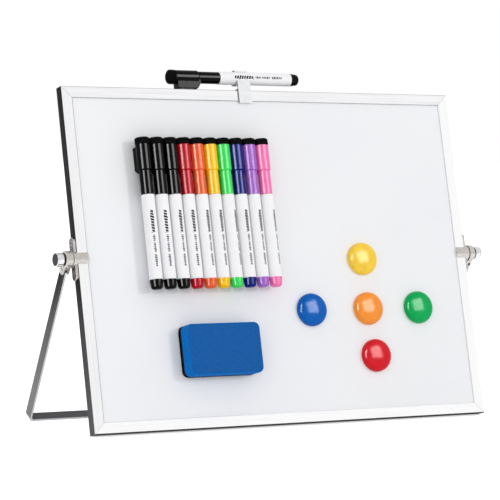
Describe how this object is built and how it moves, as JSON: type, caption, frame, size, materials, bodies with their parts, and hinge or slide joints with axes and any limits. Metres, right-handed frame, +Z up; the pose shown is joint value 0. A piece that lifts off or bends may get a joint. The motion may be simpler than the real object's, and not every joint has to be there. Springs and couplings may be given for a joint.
{
  "type": "magnetic desk whiteboard easel",
  "caption": "Framed double-sided magnetic whiteboard that swings between side knobs in a U-shaped stand, with markers, button magnets, an eraser and a rail clip.",
  "frame": {"origin": "on the floor, below the middle of the bounding box", "axes": "+X to the right along the board as its front is read, +Y from the front towards the stand's foot, +Z up"},
  "size_m": [0.445, 0.122, 0.3141],
  "materials": {
    "white_enamel": "smooth glossy enamel",
    "core_board": "pressed fibreboard",
    "satin_aluminium": "satin anodised",
    "satin_nickel": "satin plated",
    "zinc_steel": "bright zinc",
    "dark_steel": "dark satin",
    "grey_nylon": "matt",
    "black_rubber": "matt",
    "black_plastic": "glossy",
    "chrome": "polished",
    "white_plastic": "glossy",
    "blue_foam": "closed-cell foam",
    "black_felt": "pressed felt",
    "marker_barrel": "glossy",
    "magnet_steel": "plated magnet",
    "cap_black": "glossy moulded",
    "cap_red": "glossy moulded",
    "cap_orange": "glossy moulded",
    "cap_yellow": "glossy moulded",
    "cap_green": "glossy moulded",
    "cap_blue": "glossy moulded",
    "cap_purple": "glossy moulded",
    "cap_pink": "glossy moulded",
    "button_yellow": "glossy moulded",
    "button_blue": "glossy moulded",
    "button_orange": "glossy moulded",
    "button_green": "glossy moulded",
    "button_red": "glossy moulded"
  },
  "bodies": {
    "board": {"front_sheet": "white_enamel", "back_sheet": "white_enamel", "board_core": "core_board", "top_rail": "satin_aluminium", "bottom_rail": "satin_aluminium", "left_rail": "satin_aluminium", "right_rail": "satin_aluminium", "corner_keys": "black_plastic", "clamp_left": "satin_nickel", "clamp_right": "satin_nickel", "clamp_screws": "zinc_steel", "pivot_bolts": "zinc_steel"},
    "stand": {"stand_bar": "dark_steel", "leg_bracket_left": "satin_nickel", "leg_bracket_right": "satin_nickel", "leg_rivets": "zinc_steel", "friction_washers": "grey_nylon", "knob_washers": "black_rubber"},
    "knob_left": {"knob_left": "chrome", "knob_cap_left": "black_plastic"},
    "knob_right": {"knob_right": "chrome", "knob_cap_right": "black_plastic"},
    "pen_clip": {"pen_clip": "white_plastic"},
    "eraser": {"eraser_foam": "blue_foam", "eraser_felt": "black_felt", "eraser_magnet": "black_rubber"},
    "button_yellow": {"magnet_button_yellow": "button_yellow", "magnet_disc_yellow": "magnet_steel"},
    "button_blue": {"magnet_button_blue": "button_blue", "magnet_disc_blue": "magnet_steel"},
    "button_orange": {"magnet_button_orange": "button_orange", "magnet_disc_orange": "magnet_steel"},
    "button_green": {"magnet_button_green": "button_green", "magnet_disc_green": "magnet_steel"},
    "button_red": {"magnet_button_red": "button_red", "magnet_disc_red": "magnet_steel"},
    "marker_black_a": {"marker_black_a": "marker_barrel"},
    "marker_cap_black_a": {"marker_cap_black_a": "cap_black"},
    "marker_black_b": {"marker_black_b": "marker_barrel"},
    "marker_cap_black_b": {"marker_cap_black_b": "cap_black"},
    "marker_black_c": {"marker_black_c": "marker_barrel"},
    "marker_cap_black_c": {"marker_cap_black_c": "cap_black"},
    "marker_red": {"marker_red": "marker_barrel"},
    "marker_cap_red": {"marker_cap_red": "cap_red"},
    "marker_orange": {"marker_orange": "marker_barrel"},
    "marker_cap_orange": {"marker_cap_orange": "cap_orange"},
    "marker_yellow": {"marker_yellow": "marker_barrel"},
    "marker_cap_yellow": {"marker_cap_yellow": "cap_yellow"},
    "marker_green": {"marker_green": "marker_barrel"},
    "marker_cap_green": {"marker_cap_green": "cap_green"},
    "marker_blue": {"marker_blue": "marker_barrel"},
    "marker_cap_blue": {"marker_cap_blue": "cap_blue"},
    "marker_purple": {"marker_purple": "marker_barrel"},
    "marker_cap_purple": {"marker_cap_purple": "cap_purple"},
    "marker_pink": {"marker_pink": "marker_barrel"},
    "marker_cap_pink": {"marker_cap_pink": "cap_pink"},
    "marker_clipped": {"marker_clipped": "marker_barrel"},
    "marker_cap_clipped": {"marker_cap_clipped": "cap_black"}
  },
  "joints": [
    {"name": "stand_swing", "type": "hinge", "parent": "board", "child": "stand", "pos_m": [0, -0.01271, 0.1482], "axis": [1, 0, 0], "range_deg": [-200, 124]},
    {"name": "knob_left_turn", "type": "hinge", "parent": "board", "child": "knob_left", "pos_m": [-0.219, -0.01271, 0.1482], "axis": [-1, 0, 0], "range_deg": [0, 360]},
    {"name": "knob_right_turn", "type": "hinge", "parent": "board", "child": "knob_right", "pos_m": [0.219, -0.01271, 0.1482], "axis": [1, 0, 0], "range_deg": [0, 360]},
    {"name": "pen_clip_slide", "type": "slide", "parent": "board", "child": "pen_clip", "axis": [1, 0, 0], "range_m": [-0.165, 0.195]},
    {"name": "eraser_lift", "type": "slide", "parent": "board", "child": "eraser", "axis": [0, -0.965, 0.2622], "range_m": [0, 0.06]},
    {"name": "button_yellow_lift", "type": "slide", "parent": "board", "child": "button_yellow", "axis": [0, -0.965, 0.2622], "range_m": [0, 0.05]},
    {"name": "button_blue_lift", "type": "slide", "parent": "board", "child": "button_blue", "axis": [0, -0.965, 0.2622], "range_m": [0, 0.05]},
    {"name": "button_orange_lift", "type": "slide", "parent": "board", "child": "button_orange", "axis": [0, -0.965, 0.2622], "range_m": [0, 0.05]},
    {"name": "button_green_lift", "type": "slide", "parent": "board", "child": "button_green", "axis": [0, -0.965, 0.2622], "range_m": [0, 0.05]},
    {"name": "button_red_lift", "type": "slide", "parent": "board", "child": "button_red", "axis": [0, -0.965, 0.2622], "range_m": [0, 0.05]},
    {"name": "marker_black_a_lift", "type": "slide", "parent": "board", "child": "marker_black_a", "axis": [0, -0.965, 0.2622], "range_m": [0, 0.06]},
    {"name": "marker_cap_black_a_pull", "type": "slide", "parent": "marker_black_a", "child": "marker_cap_black_a", "axis": [0, 0.2622, 0.965], "range_m": [0, 0.035]},
    {"name": "marker_black_b_lift", "type": "slide", "parent": "board", "child": "marker_black_b", "axis": [0, -0.965, 0.2622], "range_m": [0, 0.06]},
    {"name": "marker_cap_black_b_pull", "type": "slide", "parent": "marker_black_b", "child": "marker_cap_black_b", "axis": [0, 0.2622, 0.965], "range_m": [0, 0.035]},
    {"name": "marker_black_c_lift", "type": "slide", "parent": "board", "child": "marker_black_c", "axis": [0, -0.965, 0.2622], "range_m": [0, 0.06]},
    {"name": "marker_cap_black_c_pull", "type": "slide", "parent": "marker_black_c", "child": "marker_cap_black_c", "axis": [0, 0.2622, 0.965], "range_m": [0, 0.035]},
    {"name": "marker_red_lift", "type": "slide", "parent": "board", "child": "marker_red", "axis": [0, -0.965, 0.2622], "range_m": [0, 0.06]},
    {"name": "marker_cap_red_pull", "type": "slide", "parent": "marker_red", "child": "marker_cap_red", "axis": [0, 0.2622, 0.965], "range_m": [0, 0.035]},
    {"name": "marker_orange_lift", "type": "slide", "parent": "board", "child": "marker_orange", "axis": [0, -0.965, 0.2622], "range_m": [0, 0.06]},
    {"name": "marker_cap_orange_pull", "type": "slide", "parent": "marker_orange", "child": "marker_cap_orange", "axis": [0, 0.2622, 0.965], "range_m": [0, 0.035]},
    {"name": "marker_yellow_lift", "type": "slide", "parent": "board", "child": "marker_yellow", "axis": [0, -0.965, 0.2622], "range_m": [0, 0.06]},
    {"name": "marker_cap_yellow_pull", "type": "slide", "parent": "marker_yellow", "child": "marker_cap_yellow", "axis": [0, 0.2622, 0.965], "range_m": [0, 0.035]},
    {"name": "marker_green_lift", "type": "slide", "parent": "board", "child": "marker_green", "axis": [0, -0.965, 0.2622], "range_m": [0, 0.06]},
    {"name": "marker_cap_green_pull", "type": "slide", "parent": "marker_green", "child": "marker_cap_green", "axis": [0, 0.2622, 0.965], "range_m": [0, 0.035]},
    {"name": "marker_blue_lift", "type": "slide", "parent": "board", "child": "marker_blue", "axis": [0, -0.965, 0.2622], "range_m": [0, 0.06]},
    {"name": "marker_cap_blue_pull", "type": "slide", "parent": "marker_blue", "child": "marker_cap_blue", "axis": [0, 0.2622, 0.965], "range_m": [0, 0.035]},
    {"name": "marker_purple_lift", "type": "slide", "parent": "board", "child": "marker_purple", "axis": [0, -0.965, 0.2622], "range_m": [0, 0.06]},
    {"name": "marker_cap_purple_pull", "type": "slide", "parent": "marker_purple", "child": "marker_cap_purple", "axis": [0, 0.2622, 0.965], "range_m": [0, 0.035]},
    {"name": "marker_pink_lift", "type": "slide", "parent": "board", "child": "marker_pink", "axis": [0, -0.965, 0.2622], "range_m": [0, 0.06]},
    {"name": "marker_cap_pink_pull", "type": "slide", "parent": "marker_pink", "child": "marker_cap_pink", "axis": [0, 0.2622, 0.965], "range_m": [0, 0.035]},
    {"name": "marker_clipped_slide", "type": "slide", "parent": "pen_clip", "child": "marker_clipped", "axis": [-1, 0, 0], "range_m": [0, 0.07]},
    {"name": "marker_cap_clipped_pull", "type": "slide", "parent": "marker_clipped", "child": "marker_cap_clipped", "axis": [-1, 0, 0], "range_m": [0, 0.035]}
  ]
}
